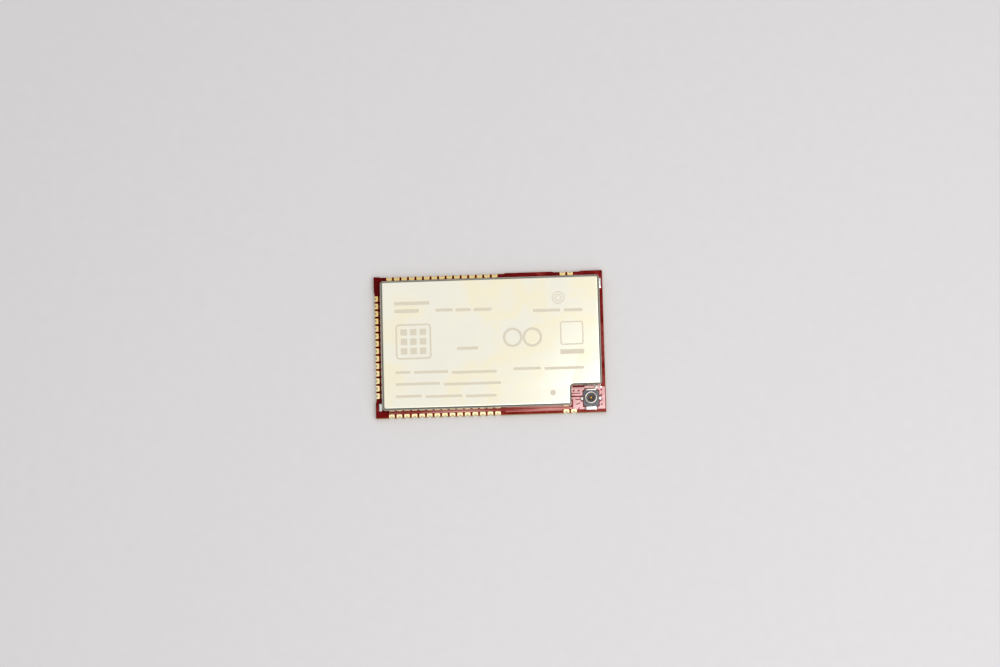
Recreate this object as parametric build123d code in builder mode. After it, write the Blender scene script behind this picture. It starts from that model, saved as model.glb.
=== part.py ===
import os

from build123d import *

os.makedirs("parts", exist_ok=True)

# Board: laminate with its solder mask, flat on its underside, which is z = 0
board_length = 38.5
board_width = 24.0
board_thickness = 1.0

# Edge pads: a plated half hole with copper above and below it
pad_pitch = 1.27
pad_width = 0.95
pad_reach = 0.58
pad_foot = 1.1
pad_corner = 0.18
pad_copper = 0.035
half_hole_radius = 0.3
half_hole_sides = 8
hole_plating = 0.05
long_row_count = 15
long_row_inset = 2.65
west_row_margin = 3.745
antenna_pad_count = 2
antenna_pad_inset = 5.37

# Router passes that set the pad stretches of the north and west edges back
edge_step = 0.12
router_radius = 0.8
north_step_margin = 1.35
west_step_margin = 0.75

# Shield can: one drawn sheet, open downwards, with the corner over the receptacle left out
can_height = 2.0
can_sheet = 0.2
can_inset_long = 0.9
can_inset_west = 0.9
can_inset_east = 0.53
can_bend = 0.35
can_corner = 0.55
can_inner_corner = 0.3
long_wall_lean = 4.0
west_wall_lean = 7.5

# Coaxial receptacle in the open corner
coax_inset_east = 2.46
coax_inset_south = 2.29
coax_gap_north = 0.39
coax_gap_west = 1.54
coax_body_side = 2.6
coax_body_height = 0.4
coax_body_chamfer = 0.2
coax_ring_radius = 1.0
coax_ring_wall = 0.13
coax_ring_height = 1.25
coax_groove_depth = 0.05
coax_groove_height = 0.25
coax_pin_radius = 0.25
coax_pin_height = 1.0
coax_pin_chamfer = 0.12
foot_sheet = 0.12
ground_foot_width = 1.9
ground_foot_reach = 1.55
side_foot_width = 0.5
side_foot_reach = 1.65

# Copper that stands up through the mask in the open corner and along the south edge
track_rise = 0.035
corner_edge_gap = 0.12
corner_south_gap = 0.5
land_margin = 0.12
antenna_track_width = 0.32
antenna_track_offset = 0.12
antenna_branch_width = 0.86
track_clearance = 0.16
ground_slot_offset = 0.77
ground_slot_width = 0.12
branch_slot_length = 0.75
branch_slot_turn = 55
arc_slot_turn = 20
arc_slot_rise = 0.95
via_radius = 0.15
via_sides = 8
via_pitch = 0.82
via_margin = 0.29
south_track_width = 0.22
south_track_gap = 0.05
south_track_end_gap = 1.3
south_wide_track_gap = 0.38

# Solder mounds
solder_height = 0.28
solder_slope = 32
solder_corner = 0.15
solder_side_spill = 0.1
ground_solder_reach = 1.76
side_solder_reach = 1.74
rim_solder_reach = 0.4

# Room between the packages inside the can and the chip parts round them
part_gap = 0.4
part_step = 1.5

# Flat packages inside the can
terminal_height = 0.2
terminal_length = 0.4
terminal_width = 0.24
radio_side = 7.0
radio_height = 0.85
radio_pitch = 0.5
radio_per_side = 12
radio_heat_pad = 5.2
amplifier_side = 4.0
amplifier_height = 0.9
amplifier_pitch = 0.65
amplifier_per_side = 4
amplifier_heat_pad = 2.5
pin_mark_inset = 0.8
pin_mark_radius = 0.25
pin_mark_depth = 0.05

# Moulded packages with bent leads
mould_draft = 8
mould_clearance = 0.08
lead_sheet = 0.13
lead_foot = 0.35
lead_shoulder = 0.12
regulator_length = 2.9
regulator_width = 1.6
regulator_height = 1.1
regulator_span = 2.8
regulator_pitch = 0.95
regulator_lead_width = 0.4
small_mould_length = 2.0
small_mould_width = 1.25
small_mould_height = 0.9
small_mould_span = 2.3
small_mould_pitch = 0.65
small_mould_lead_width = 0.22

# Chip parts, crystals, choke and wound coils
chip_length = 1.0
chip_width = 0.5
chip_height = 0.5
chip_cap = 0.25
bulk_length = 3.2
bulk_width = 1.6
bulk_height = 1.25
bulk_cap = 0.5
cap_skin = 0.03
crystal_base_height = 0.45
crystal_lid_height = 0.25
crystal_lid_border = 0.2
crystal_corner = 0.3
main_crystal_length = 3.2
main_crystal_width = 2.5
clock_crystal_length = 3.2
clock_crystal_width = 1.5
choke_side = 3.0
choke_height = 1.2
choke_chamfer = 0.5
choke_plate = 0.1
choke_plate_width = 1.6
choke_plate_rise = 0.7
choke_plate_foot = 0.6
coil_length = 2.0
coil_width = 1.25
coil_height = 1.2
coil_flange = 0.4
coil_core = 0.6
coil_wire_chamfer = 0.25

# Edges and centres that the pieces share
board_east = board_length / 2
board_north = board_width / 2
board_top = Plane.XY.offset(board_thickness)
can_west = can_inset_west - board_east
can_east = board_east - can_inset_east
can_north = board_north - can_inset_long
can_south = -can_north
coax_x = board_east - coax_inset_east
coax_y = coax_inset_south - board_north
coax_seat = Plane((coax_x, coax_y, board_thickness))
notch_west = coax_x - side_foot_reach - coax_gap_west
notch_north = coax_y + ground_foot_reach + coax_gap_north
row_x = [long_row_inset - board_east + pad_pitch * step for step in range(long_row_count)]
row_x += [board_east - antenna_pad_inset - pad_pitch * step for step in reversed(range(antenna_pad_count))]
west_row_gaps = round((board_width - 2 * west_row_margin) / pad_pitch)
west_y = [pad_pitch * (west_row_gaps / 2 - step) for step in range(west_row_gaps + 1)]
on_top = (Align.CENTER, Align.CENTER, Align.MIN)

# One edge pad, with its edge at y = 0 and the board on the +Y side
with BuildPart() as edge_pad:
    with BuildSketch(board_top) as upper_copper:
        Rectangle(pad_width, pad_reach, align=(Align.CENTER, Align.MIN))
        chamfer(upper_copper.vertices().group_by(Axis.Y)[-1], pad_corner)
    extrude(amount=pad_copper)
    with BuildSketch():
        Rectangle(pad_width, pad_foot, align=(Align.CENTER, Align.MIN))
    extrude(amount=pad_copper)
    with BuildSketch():
        RegularPolygon(half_hole_radius, half_hole_sides)
        Rectangle(pad_width, pad_width, align=(Align.CENTER, Align.MIN), mode=Mode.INTERSECT)
    extrude(amount=board_thickness)
    with BuildSketch():
        RegularPolygon(half_hole_radius - hole_plating, half_hole_sides)
    extrude(amount=board_thickness + pad_copper, mode=Mode.SUBTRACT)

with BuildPart() as north_edge_pads:
    with Locations(*[Location((x, board_north - edge_step, 0), (0, 0, 180)) for x in row_x]):
        add(edge_pad.part)

with BuildPart() as south_edge_pads:
    with Locations(*[Location((x, -board_north, 0)) for x in row_x]):
        add(edge_pad.part)

with BuildPart() as west_edge_pads:
    with Locations(*[Location((edge_step - board_east, y, 0), (0, 0, -90)) for y in west_y]):
        add(edge_pad.part)


# Straight edges that run more up than along
def upright_edges(builder):
    straight = builder.edges().filter_by(GeomType.LINE)
    return straight.filter_by(lambda edge: abs(edge.tangent_at(0.5).Z) > 0.5)


# Outer volume of the can, for the sheet itself and for what lies against it
with BuildPart() as can_block:
    with BuildSketch(board_top):
        with BuildLine():
            Polyline(
                (can_west, can_south),
                (notch_west, can_south),
                (notch_west, notch_north),
                (can_east, notch_north),
                (can_east, can_north),
                (can_west, can_north),
                close=True,
            )
        make_face()
    extrude(amount=can_height)
    draft(can_block.faces().filter_by(Axis.Y), board_top, long_wall_lean)
    draft(can_block.faces().filter_by(Axis.X).sort_by(Axis.X)[0], board_top, west_wall_lean)
    inner_corner = (notch_west, notch_north, board_thickness)
    fillet(upright_edges(can_block).sort_by_distance(inner_corner)[1:], can_corner)
    fillet(upright_edges(can_block).sort_by_distance(inner_corner)[0], can_inner_corner)

with BuildPart() as shield_can:
    add(can_block.part)
    offset(amount=-can_sheet, openings=shield_can.faces().sort_by(Axis.Z)[0])
    fillet(shield_can.edges().group_by(Axis.Z)[-1], can_bend)

# Receptacle shell: a rolled ring with a snap groove, carried by straps and three feet
ring_inner_radius = coax_ring_radius - coax_ring_wall
strap_height = 2 * foot_sheet
contact_slot = side_foot_width + 2 * foot_sheet
with BuildPart() as coax_shell:
    with BuildSketch(Plane(coax_seat.origin, x_dir=(1, 0, 0), z_dir=(0, -1, 0))):
        with Locations((ring_inner_radius, strap_height)):
            Rectangle(coax_ring_wall, coax_ring_height - strap_height, align=Align.MIN)
        with Locations((coax_ring_radius, coax_body_height + coax_groove_height)):
            Rectangle(2 * coax_groove_depth, coax_groove_height, mode=Mode.SUBTRACT)
    revolve(axis=Axis(coax_seat.origin, (0, 0, 1)))
    with BuildSketch(coax_seat):
        Rectangle(ground_foot_width, 2 * ground_foot_reach)
        Rectangle(side_foot_reach, side_foot_width, align=(Align.MIN, Align.CENTER))
        Rectangle(coax_body_side, contact_slot, align=(Align.MAX, Align.CENTER), mode=Mode.SUBTRACT)
        Circle(ring_inner_radius, mode=Mode.SUBTRACT)
    extrude(amount=foot_sheet)
    with BuildSketch(coax_seat.offset(foot_sheet)):
        Circle(coax_ring_radius)
        Circle(ring_inner_radius, mode=Mode.SUBTRACT)
        Rectangle(coax_body_side, contact_slot, align=(Align.MAX, Align.CENTER), mode=Mode.SUBTRACT)
    extrude(amount=strap_height - foot_sheet)

# Receptacle contact: the middle pin and the signal foot that runs out to the west
with BuildPart() as coax_contact:
    with BuildSketch(coax_seat):
        Circle(coax_pin_radius)
    extrude(amount=coax_pin_height)
    chamfer(coax_contact.edges().group_by(Axis.Z)[-1], coax_pin_chamfer)
    with BuildSketch(coax_seat):
        Rectangle(side_foot_reach, side_foot_width, align=(Align.MAX, Align.CENTER))
    extrude(amount=foot_sheet)

with BuildPart() as coax_body:
    with BuildSketch(coax_seat) as body_outline:
        Rectangle(coax_body_side, coax_body_side)
        chamfer(body_outline.vertices(), coax_body_chamfer)
    extrude(amount=coax_body_height)
    add(coax_shell.part, mode=Mode.SUBTRACT)
    add(coax_contact.part, mode=Mode.SUBTRACT)

# Board outline, plated holes, and the copper that stands up through the mask
track_y = coax_y + antenna_track_offset
upper_gap = track_y + antenna_track_width / 2
lower_gap = track_y - antenna_track_width / 2
land_west = coax_x - side_foot_reach - land_margin
corner_south = corner_south_gap - board_north
corner_east = board_east - corner_edge_gap
branch_east = notch_west + track_clearance + antenna_branch_width
with BuildPart() as board:
    with BuildSketch():
        Rectangle(board_length, board_width)
        for first, last in ((0, long_row_count - 1), (long_row_count, len(row_x) - 1)):
            pass_length = row_x[last] - row_x[first] + 2 * north_step_margin
            with Locations(((row_x[first] + row_x[last]) / 2, board_north - edge_step + router_radius)):
                SlotCenterToCenter(pass_length, 2 * router_radius, mode=Mode.SUBTRACT)
        pass_length = west_y[0] - west_y[-1] + 2 * west_step_margin
        with Locations((edge_step - board_east - router_radius, (west_y[0] + west_y[-1]) / 2)):
            SlotCenterToCenter(pass_length, 2 * router_radius, rotation=90, mode=Mode.SUBTRACT)
        with Locations(*[(x, board_north - edge_step) for x in row_x]):
            RegularPolygon(half_hole_radius, half_hole_sides, mode=Mode.SUBTRACT)
        with Locations(*[(x, -board_north) for x in row_x]):
            RegularPolygon(half_hole_radius, half_hole_sides, mode=Mode.SUBTRACT)
        with Locations(*[(edge_step - board_east, y) for y in west_y]):
            RegularPolygon(half_hole_radius, half_hole_sides, mode=Mode.SUBTRACT)
    extrude(amount=board_thickness)
    # Ground copper of the open corner, cleared round the lands of the receptacle
    with BuildSketch(board_top):
        with Locations((notch_west, corner_south)):
            Rectangle(corner_east - notch_west, notch_north - corner_south, align=Align.MIN)
        with Locations((coax_x, coax_y)):
            body_land = coax_body_side + 2 * land_margin
            Rectangle(body_land, body_land, mode=Mode.SUBTRACT)
            Rectangle(ground_foot_width + 3 * land_margin, 2 * ground_solder_reach, mode=Mode.SUBTRACT)
            Rectangle(2 * (side_foot_reach + land_margin), 2 * side_foot_width, mode=Mode.SUBTRACT)
        # Cleared above and below the antenna track, beside its branch, and through the ground
        with Locations((notch_west, upper_gap)):
            Rectangle(land_west - notch_west, 1.5 * track_clearance, align=Align.MIN, mode=Mode.SUBTRACT)
        with Locations((notch_west, corner_south)):
            Rectangle(track_clearance, lower_gap - corner_south, align=Align.MIN, mode=Mode.SUBTRACT)
        with Locations((land_west, lower_gap)):
            Rectangle(antenna_branch_width, track_clearance, align=Align.MAX, mode=Mode.SUBTRACT)
        with Locations((branch_east, corner_south)):
            SlotOverall(branch_slot_length, track_clearance, rotation=branch_slot_turn, mode=Mode.SUBTRACT)
        with Locations((branch_east, corner_south + arc_slot_rise)):
            SlotOverall(branch_slot_length, track_clearance, rotation=arc_slot_turn, mode=Mode.SUBTRACT)
        with Locations(((notch_west + land_west) / 2, track_y + ground_slot_offset)):
            Rectangle(land_west - notch_west, ground_slot_width, mode=Mode.SUBTRACT)
    extrude(amount=track_rise)
    # Ground track outside the can, narrow behind the pads and wide between them
    with BuildSketch(board_top):
        track_west = can_west + south_track_end_gap
        wide_west = row_x[long_row_count - 1] + pad_pitch
        wide_east = row_x[long_row_count] - pad_pitch / 2
        with Locations((track_west, can_south - south_track_gap)):
            Rectangle(notch_west - track_west, south_track_width, align=(Align.MIN, Align.MAX))
        with Locations((wide_west, south_wide_track_gap - board_north)):
            wide_width = can_south - south_track_gap + board_north - south_wide_track_gap
            Rectangle(wide_east - wide_west, wide_width, align=Align.MIN)
    extrude(amount=track_rise)
    # Vias: a column beside the receptacle and a pair behind the antenna track
    with BuildSketch():
        column_x = coax_x + coax_body_side / 2 + via_radius + via_margin
        pair_x = notch_west + via_pitch / 2 + via_radius + track_clearance
        with Locations((column_x, coax_y + via_pitch / 5)):
            with GridLocations(via_pitch, via_pitch, 1, 4):
                RegularPolygon(via_radius, via_sides)
        with Locations((pair_x, notch_north - 2 * via_margin)):
            with GridLocations(via_pitch, via_pitch, 2, 1):
                RegularPolygon(via_radius, via_sides)
    extrude(amount=board_thickness + track_rise, mode=Mode.SUBTRACT)
    add(north_edge_pads.part, mode=Mode.SUBTRACT)
    add(south_edge_pads.part, mode=Mode.SUBTRACT)
    add(west_edge_pads.part, mode=Mode.SUBTRACT)


# A solder mound that slopes out to its foot
def solder_mound(x, y, length, width):
    with BuildSketch(Plane((x, y, board_thickness))) as footprint:
        Rectangle(length, width)
        chamfer(footprint.vertices(), solder_corner)
    extrude(footprint.sketch, amount=solder_height, taper=solder_slope)


# Mounds over the four feet of the receptacle
with BuildPart() as coax_solder:
    mound_width = ground_foot_width + 2 * solder_side_spill
    side_mound_width = side_foot_width + 2 * solder_side_spill
    for side in (1, -1):
        inner = coax_body_side / 4
        middle = side * (inner + ground_solder_reach) / 2
        solder_mound(coax_x, coax_y + middle, mound_width, ground_solder_reach - inner)
        middle = side * (inner + side_solder_reach) / 2
        solder_mound(coax_x + middle, coax_y, side_solder_reach - inner, side_mound_width)
    with BuildSketch(coax_seat) as body_shadow:
        Rectangle(coax_body_side, coax_body_side)
        chamfer(body_shadow.vertices(), coax_body_chamfer)
    extrude(amount=2 * solder_height, mode=Mode.SUBTRACT)
    add(coax_shell.part, mode=Mode.SUBTRACT)
    add(coax_contact.part, mode=Mode.SUBTRACT)

# Mounds that stand against the can at its rim: south-west, north-east and the end of the open corner
with BuildPart() as shield_solder:
    for x, y, length, width in (
        (can_west, can_south + 1.15, 2 * rim_solder_reach, 1.95),
        (can_east, can_north - 1.5, 2 * rim_solder_reach, 2.4),
        (can_east - 0.25, notch_north + via_radius / 2, 0.6, 2 * rim_solder_reach),
    ):
        solder_mound(x, y, length, width)
    add(can_block.part, mode=Mode.SUBTRACT)
    add(board.part, mode=Mode.SUBTRACT)


# Square package with its terminals flush below: the moulded body, standing on the terminals
def flat_body(x, y, side, height, heat_pad):
    with BuildSketch(Plane((x, y, board_thickness + terminal_height))) as upper:
        Rectangle(side, side)
    extrude(upper.sketch, amount=height - terminal_height)
    with BuildSketch(Plane((x, y, board_thickness))) as lower:
        Rectangle(side - 2 * terminal_length, side - 2 * terminal_length)
        Rectangle(heat_pad, heat_pad, mode=Mode.SUBTRACT)
    extrude(lower.sketch, amount=terminal_height)
    mark_offset = side / 2 - pin_mark_inset
    with BuildSketch(Plane((x - mark_offset, y + mark_offset, board_thickness + height))) as mark:
        Circle(pin_mark_radius)
    extrude(mark.sketch, amount=-pin_mark_depth, mode=Mode.SUBTRACT)


# The same package's terminals on four sides and the heat pad in the middle
def flat_terminals(x, y, side, per_side, pitch, heat_pad):
    with Locations((x, y, board_thickness)):
        Box(heat_pad, heat_pad, terminal_height, align=on_top)
    for turn in range(0, 360, 90):
        with Locations(Location((x, y, board_thickness), (0, 0, turn))):
            with Locations(((side - terminal_length) / 2, 0, 0)):
                with GridLocations(pitch, pitch, 1, per_side):
                    Box(terminal_length, terminal_width, terminal_height, align=on_top)


# Moulded body that tapers up and down from its parting line at mid height
def moulded_body(x, y, length, width, height):
    with BuildSketch(Plane((x, y, board_thickness + height / 2))) as parting:
        Rectangle(length, width)
    extrude(parting.sketch, amount=height / 2, taper=mould_draft)
    extrude(parting.sketch, amount=mould_clearance - height / 2, taper=mould_draft)


# Bent leads that leave a moulded body at its parting line, north and south
def bent_leads(x, y, half_body, half_span, height, lead_width, north_steps, south_steps):
    shoulder = half_body + lead_shoulder
    heel = half_span - lead_foot
    exit_low = height / 2 - lead_sheet / 2
    for side, steps in ((1, north_steps), (-1, south_steps)):
        for step in steps:
            seat = Plane((x + step, y, board_thickness), x_dir=(0, side, 0), z_dir=(side, 0, 0))
            with BuildSketch(seat) as profile:
                with BuildLine():
                    Polyline(
                        (half_body, exit_low),
                        (shoulder - lead_sheet / 2, exit_low),
                        (heel - lead_sheet, 0),
                        (half_span, 0),
                        (half_span, lead_sheet),
                        (heel, lead_sheet),
                        (shoulder + lead_sheet / 2, exit_low + lead_sheet),
                        (half_body, exit_low + lead_sheet),
                        close=True,
                    )
                make_face()
            extrude(profile.sketch, amount=lead_width / 2, both=True)


# Metal caps on both ends of chip parts
def end_caps(places, length, width, height, cap):
    for x, y, turn in places:
        with Locations(Location((x, y, board_thickness), (0, 0, turn))):
            with GridLocations(length - cap, width, 2, 1):
                Box(cap, width, height, align=on_top)


# Ceramic between the caps, a skin's thickness smaller all round
def chip_cores(places, length, width, height, cap):
    for x, y, turn in places:
        with Locations(Location((x, y, board_thickness + cap_skin), (0, 0, turn))):
            Box(length - 2 * cap, width - 2 * cap_skin, height - 2 * cap_skin, align=on_top)


# A place inside the can, as shares of its length and width from the south-west corner
def inside(along, across):
    return can_west + along * (can_east - can_west), can_south + across * (can_north - can_south)


radio_x, radio_y = inside(0.26, 0.568)
with BuildPart() as radio_chip:
    flat_body(radio_x, radio_y, radio_side, radio_height, radio_heat_pad)
with BuildPart() as radio_chip_terminals:
    flat_terminals(radio_x, radio_y, radio_side, radio_per_side, radio_pitch, radio_heat_pad)

amplifier_x, amplifier_y = inside(0.671, 0.66)
with BuildPart() as power_amplifier:
    flat_body(amplifier_x, amplifier_y, amplifier_side, amplifier_height, amplifier_heat_pad)
with BuildPart() as power_amplifier_terminals:
    flat_terminals(
        amplifier_x, amplifier_y, amplifier_side, amplifier_per_side, amplifier_pitch, amplifier_heat_pad
    )

# Supply regulator in the south-west corner, three leads south and two north
regulator_x, regulator_y = inside(0.089, 0.207)
with BuildPart() as voltage_regulator:
    moulded_body(regulator_x, regulator_y, regulator_length, regulator_width, regulator_height)
with BuildPart() as voltage_regulator_leads:
    bent_leads(
        regulator_x,
        regulator_y,
        regulator_width / 2,
        regulator_span / 2,
        regulator_height,
        regulator_lead_width,
        (-regulator_pitch, regulator_pitch),
        (-regulator_pitch, 0, regulator_pitch),
    )

# Antenna switch and low-noise amplifier, in equal six-lead packages
switch_x, switch_y = inside(0.717, 0.446)
receiver_x, receiver_y = inside(0.595, 0.32)
small_steps = (-small_mould_pitch, 0, small_mould_pitch)
small_package = (small_mould_width / 2, small_mould_span / 2, small_mould_height, small_mould_lead_width)
with BuildPart() as antenna_switch:
    moulded_body(switch_x, switch_y, small_mould_length, small_mould_width, small_mould_height)
with BuildPart() as antenna_switch_leads:
    bent_leads(switch_x, switch_y, *small_package, small_steps, small_steps)
with BuildPart() as receive_amplifier:
    moulded_body(receiver_x, receiver_y, small_mould_length, small_mould_width, small_mould_height)
with BuildPart() as receive_amplifier_leads:
    bent_leads(receiver_x, receiver_y, *small_package, small_steps, small_steps)

# Crystals: a ceramic base with a metal lid seamed onto it
main_crystal_x, main_crystal_y = inside(0.26, 0.266)
main_crystal_seat = Plane((main_crystal_x, main_crystal_y, board_thickness))
clock_crystal_x, clock_crystal_y = inside(0.065, 0.635)
clock_crystal_seat = Plane((clock_crystal_x, clock_crystal_y, board_thickness))
with BuildPart() as main_crystal_base:
    with BuildSketch(main_crystal_seat) as base_outline:
        Rectangle(main_crystal_length, main_crystal_width)
        chamfer(base_outline.vertices(), crystal_corner)
    extrude(amount=crystal_base_height)
with BuildPart() as main_crystal_lid:
    with BuildSketch(main_crystal_seat.offset(crystal_base_height)) as lid_outline:
        Rectangle(main_crystal_length, main_crystal_width)
        chamfer(lid_outline.vertices(), crystal_corner)
        offset(amount=-crystal_lid_border)
    extrude(amount=crystal_lid_height)
with BuildPart() as clock_crystal_base:
    with BuildSketch(clock_crystal_seat) as base_outline:
        Rectangle(clock_crystal_width, clock_crystal_length)
        chamfer(base_outline.vertices(), crystal_corner)
    extrude(amount=crystal_base_height)
with BuildPart() as clock_crystal_lid:
    with BuildSketch(clock_crystal_seat.offset(crystal_base_height)) as lid_outline:
        Rectangle(clock_crystal_width, clock_crystal_length)
        chamfer(lid_outline.vertices(), crystal_corner)
        offset(amount=-crystal_lid_border)
    extrude(amount=crystal_lid_height)

# Supply choke: a ferrite block on two folded end plates
choke_x, choke_y = inside(0.08, 0.38)
choke_seat = Plane((choke_x, choke_y, board_thickness))
with BuildPart() as supply_choke_plates:
    for side in (-1, 1):
        with BuildSketch(Plane(choke_seat.origin, x_dir=(side, 0, 0), z_dir=(0, -side, 0))):
            with Locations((choke_side / 2 + choke_plate, 0)):
                Rectangle(choke_plate, choke_plate_rise, align=(Align.MAX, Align.MIN))
                Rectangle(choke_plate_foot, choke_plate, align=(Align.MAX, Align.MIN))
        extrude(amount=choke_plate_width / 2, both=True)
with BuildPart() as supply_choke:
    with BuildSketch(choke_seat.offset(choke_plate)) as choke_outline:
        Rectangle(choke_side, choke_side)
        chamfer(choke_outline.vertices(), choke_chamfer)
    extrude(amount=choke_height - choke_plate)

# Wound coils of the antenna filter: a bobbin with square flanges, and the winding between them
coil_places = (
    (*inside(0.795, 0.66), 0),
    (*inside(0.881, 0.66), 90),
    (*inside(0.822, 0.446), 0),
    (*inside(0.768, 0.293), 90),
    (*inside(0.768, 0.113), 90),
)
with BuildPart() as filter_coil_cores:
    for x, y, turn in coil_places:
        with Locations(Location((x, y, board_thickness), (0, 0, turn))):
            with GridLocations(coil_length - coil_flange, coil_width, 2, 1):
                Box(coil_flange, coil_width, coil_height, align=on_top)
        with Locations(Location((x, y, board_thickness + coil_height / 2), (0, 0, turn))):
            Box(coil_length - coil_flange, coil_core, coil_core)
with BuildPart() as filter_coil_windings:
    for x, y, turn in coil_places:
        seat = Plane(Location((x, y, board_thickness + coil_height / 2), (0, 0, turn)))
        winding_length = coil_length - 2 * coil_flange
        with BuildSketch(Plane(seat.origin, x_dir=seat.y_dir, z_dir=seat.x_dir)) as turns:
            winding_side = min(coil_width, coil_height) - 2 * cap_skin
            Rectangle(winding_side, winding_side)
            chamfer(turns.vertices(), coil_wire_chamfer)
            Rectangle(coil_core, coil_core, mode=Mode.SUBTRACT)
        extrude(amount=winding_length / 2, both=True)

# Chip parts stand round the packages that they serve, end on or side on
radio_end = radio_side / 2 + part_gap + chip_length / 2
radio_edge = radio_side / 2 + part_gap + chip_width / 2
amplifier_end = amplifier_side / 2 + part_gap + chip_length / 2
amplifier_edge = amplifier_side / 2 + part_gap + chip_width / 2
crystal_edge = main_crystal_length / 2 + part_gap + chip_width / 2
clock_edge = clock_crystal_length / 2 + part_gap + chip_width / 2
mould_edge = small_mould_length / 2 + part_gap + chip_width / 2
capacitor_places = [(radio_x + part_step * step, radio_y + radio_end, 90) for step in (-2, -1, 0, 1, 2)]
capacitor_places += [(radio_x + 2 * part_step * side, radio_y - radio_edge, 0) for side in (-1, 1)]
capacitor_places += [(main_crystal_x + crystal_edge * side, main_crystal_y, 90) for side in (-1, 1)]
capacitor_places += [(clock_crystal_x, clock_crystal_y + clock_edge * side, 0) for side in (-1, 1)]
capacitor_places += [(radio_x + radio_end, radio_y + part_step * step, 0) for step in (0, 1)]
capacitor_places += [(amplifier_x + part_step * end, amplifier_y + amplifier_edge, 0) for end in (-0.5, 0.5)]
capacitor_places += [(receiver_x + mould_edge * side, receiver_y, 90) for side in (-1, 1)]
capacitor_places += [(*inside(0.838, 0.581), 0), (*inside(0.815, 0.356), 0)]
capacitor_places += [(*inside(0.817, 0.203), 90), (*inside(0.81, 0.09), 90)]
with BuildPart() as capacitors:
    chip_cores(capacitor_places, chip_length, chip_width, chip_height, chip_cap)
with BuildPart() as capacitor_caps:
    end_caps(capacitor_places, chip_length, chip_width, chip_height, chip_cap)

resistor_places = [(radio_x - radio_edge, radio_y + part_step * step, 90) for step in (1.5, 0.4, -0.7)]
resistor_places += [(amplifier_x - amplifier_end, amplifier_y + part_step * side, 0) for side in (-0.5, 0.5)]
resistor_places += [(*inside(0.394, across), 0) for across in (0.176, 0.23, 0.284)]
with BuildPart() as resistors:
    chip_cores(resistor_places, chip_length, chip_width, chip_height, chip_cap)
with BuildPart() as resistor_caps:
    end_caps(resistor_places, chip_length, chip_width, chip_height, chip_cap)

bulk_places = [(*inside(along, 0.9), 0) for along in (0.541, 0.663, 0.784)]
bulk_places += [(*inside(0.089, 0.078), 0)]
with BuildPart() as bulk_capacitors:
    chip_cores(bulk_places, bulk_length, bulk_width, bulk_height, bulk_cap)
with BuildPart() as bulk_capacitor_caps:
    end_caps(bulk_places, bulk_length, bulk_width, bulk_height, bulk_cap)

pieces = {
    "board": board,
    "north_edge_pads": north_edge_pads,
    "south_edge_pads": south_edge_pads,
    "west_edge_pads": west_edge_pads,
    "shield_can": shield_can,
    "shield_solder": shield_solder,
    "coax_body": coax_body,
    "coax_shell": coax_shell,
    "coax_contact": coax_contact,
    "coax_solder": coax_solder,
    "radio_chip": radio_chip,
    "radio_chip_terminals": radio_chip_terminals,
    "power_amplifier": power_amplifier,
    "power_amplifier_terminals": power_amplifier_terminals,
    "voltage_regulator": voltage_regulator,
    "voltage_regulator_leads": voltage_regulator_leads,
    "antenna_switch": antenna_switch,
    "antenna_switch_leads": antenna_switch_leads,
    "receive_amplifier": receive_amplifier,
    "receive_amplifier_leads": receive_amplifier_leads,
    "main_crystal_base": main_crystal_base,
    "main_crystal_lid": main_crystal_lid,
    "clock_crystal_base": clock_crystal_base,
    "clock_crystal_lid": clock_crystal_lid,
    "supply_choke": supply_choke,
    "supply_choke_plates": supply_choke_plates,
    "filter_coil_cores": filter_coil_cores,
    "filter_coil_windings": filter_coil_windings,
    "capacitors": capacitors,
    "capacitor_caps": capacitor_caps,
    "resistors": resistors,
    "resistor_caps": resistor_caps,
    "bulk_capacitors": bulk_capacitors,
    "bulk_capacitor_caps": bulk_capacitor_caps,
}
for name, piece in pieces.items():
    piece.part.label = name
    export_step(piece.part, f"parts/{name}.step")
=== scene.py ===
import math

import bpy
import numpy as np
from mathutils import Matrix, Vector


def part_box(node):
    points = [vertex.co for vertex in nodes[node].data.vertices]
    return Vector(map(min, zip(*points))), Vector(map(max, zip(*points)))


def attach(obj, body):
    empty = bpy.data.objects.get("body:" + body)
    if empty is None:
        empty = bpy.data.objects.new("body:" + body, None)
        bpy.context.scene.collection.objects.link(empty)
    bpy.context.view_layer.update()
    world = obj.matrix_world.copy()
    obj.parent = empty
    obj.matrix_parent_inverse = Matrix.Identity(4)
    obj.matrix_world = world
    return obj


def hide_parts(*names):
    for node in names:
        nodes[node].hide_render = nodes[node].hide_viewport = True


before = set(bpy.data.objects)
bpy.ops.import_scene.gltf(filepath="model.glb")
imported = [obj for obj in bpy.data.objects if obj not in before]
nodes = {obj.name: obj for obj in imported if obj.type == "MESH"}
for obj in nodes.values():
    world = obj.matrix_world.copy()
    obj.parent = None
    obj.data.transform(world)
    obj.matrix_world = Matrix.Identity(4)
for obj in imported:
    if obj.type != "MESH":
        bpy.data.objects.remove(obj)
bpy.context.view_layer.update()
mm = 0.001

# Camera of the photograph: a long lens, nearly straight above, turned a little. Places are in millimetres
cameraSet = {"place": (21.156, -86.677, 537.071), "target": (1.844, 1.737, 1.0), "roll": -1.467,
             "lens": 116.67, "sensor": 36, "nearest": 0.01, "farthest": 10}


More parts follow.
